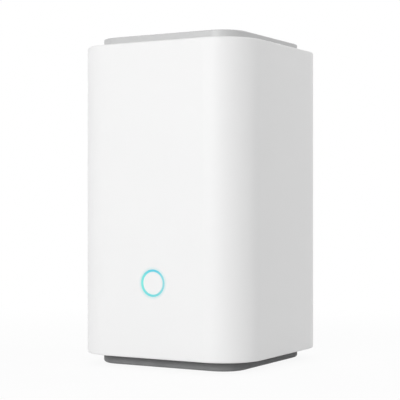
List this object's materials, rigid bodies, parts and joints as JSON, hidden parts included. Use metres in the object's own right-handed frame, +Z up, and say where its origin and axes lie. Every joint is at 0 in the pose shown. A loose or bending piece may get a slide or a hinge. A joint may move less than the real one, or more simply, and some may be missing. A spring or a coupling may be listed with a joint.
{
  "type": "security camera base station",
  "caption": "Rounded-square tower hub for wireless cameras: ring light with push button in front, ports behind, inset top plate and base.",
  "frame": {"origin": "middle of the footprint on the table", "axes": "-Y is the front with the ring light, +X is on the right of someone who looks at the front, +Z is up"},
  "size_m": [0.095, 0.095, 0.1615],
  "materials": {
    "white_shell": "fine satin moulded plastic",
    "grey_plate": "satin moulded plastic",
    "dark_base": "satin moulded plastic",
    "ring_glow": "clear light pipe, lit cyan",
    "rubber": "matte rubber",
    "black_foam": "closed-cell foam",
    "circuit_board": "green solder mask",
    "chip_black": "moulded package",
    "lamp": "lamp package",
    "steel": "zinc-plated",
    "tin": "tin-plated sheet",
    "aluminium": "anodised",
    "gold_contact": "gold-flashed",
    "nickel": "nickel-plated",
    "black_plastic": "glass-filled plastic",
    "connector_cream": "connector plastic",
    "frame_plastic": "moulded plastic",
    "pad_grey": "soft thermal pad",
    "copper": "enamelled copper wire",
    "cone_paper": "pressed paper",
    "lead_black": "cable jacket",
    "flex_amber": "polyimide film",
    "ferrite": "sintered"
  },
  "bodies": {
    "station": {"outer_sleeve": "white_shell", "top_cover": "grey_plate", "base_cover": "dark_base", "rubber_feet": "rubber", "case_screws": "steel", "port_panel": "dark_base", "light_ring": "ring_glow", "light_baffle": "black_foam", "ring_board": "circuit_board", "ring_leds": "lamp", "button_switch_body": "black_plastic", "ring_board_screws": "steel", "ring_board_connector": "connector_cream", "ring_flex_cable": "flex_amber", "main_flex_connector": "connector_cream", "inner_frame": "frame_plastic", "frame_screws": "steel", "main_board": "circuit_board", "board_screws": "steel", "processor": "chip_black", "memory_chips": "chip_black", "shield_frame": "tin", "shield_lid": "tin", "thermal_pad": "pad_grey", "heat_sink": "aluminium", "heat_sink_screws": "steel", "radio_shield": "tin", "radio_chip": "chip_black", "lan_jack_shell": "nickel", "lan_jack_insert": "black_plastic", "lan_contacts": "gold_contact", "lan_transformer": "black_plastic", "dc_jack_body": "black_plastic", "dc_jack_pin": "nickel", "dc_jack_spring": "nickel", "power_capacitors": "aluminium", "power_inductor": "ferrite", "card_socket_bases": "black_plastic", "card_socket_shells": "nickel", "reset_switch_body": "black_plastic", "speaker_frame": "black_plastic", "speaker_yoke": "steel", "speaker_magnet": "ferrite", "speaker_pole_plate": "steel", "speaker_surround": "rubber", "speaker_gasket": "black_foam", "speaker_screws": "steel", "speaker_lead": "lead_black", "antenna_plugs": "gold_contact", "antenna_leads": "lead_black", "antenna_left": "circuit_board", "antenna_right": "circuit_board", "antenna_front": "circuit_board"},
    "front_button": {"front_button": "white_shell"},
    "switch_plunger": {"button_switch_plunger": "connector_cream"},
    "memory_card": {"memory_card": "chip_black"},
    "reset_plunger": {"reset_switch_plunger": "connector_cream"},
    "speaker_cone": {"speaker_cone": "cone_paper", "speaker_voice_coil": "copper"}
  },
  "joints": [
    {"name": "front_button_press", "type": "slide", "parent": "station", "child": "front_button", "axis": [0, 1, 0], "range_m": [0, 0.0003], "stiffness_N_per_m": 150, "springref_m": -0.001},
    {"name": "switch_plunger_press", "type": "slide", "parent": "station", "child": "switch_plunger", "axis": [0, 1, 0], "range_m": [0, 0.0003]},
    {"name": "reset_plunger_press", "type": "slide", "parent": "station", "child": "reset_plunger", "axis": [0, -1, 0], "range_m": [0, 0.0003], "stiffness_N_per_m": 5, "springref_m": -0.001},
    {"name": "memory_card_slide", "type": "slide", "parent": "station", "child": "memory_card", "axis": [0, 1, 0], "range_m": [-0.0005, 0.0125]},
    {"name": "speaker_cone_travel", "type": "slide", "parent": "station", "child": "speaker_cone", "axis": [0, 1, 0], "range_m": [-0.0005, 0.0005], "stiffness_N_per_m": 200}
  ],
  "couplings": [
    {"joint": "switch_plunger_press", "follows": "front_button_press", "ratio": 1}
  ]
}
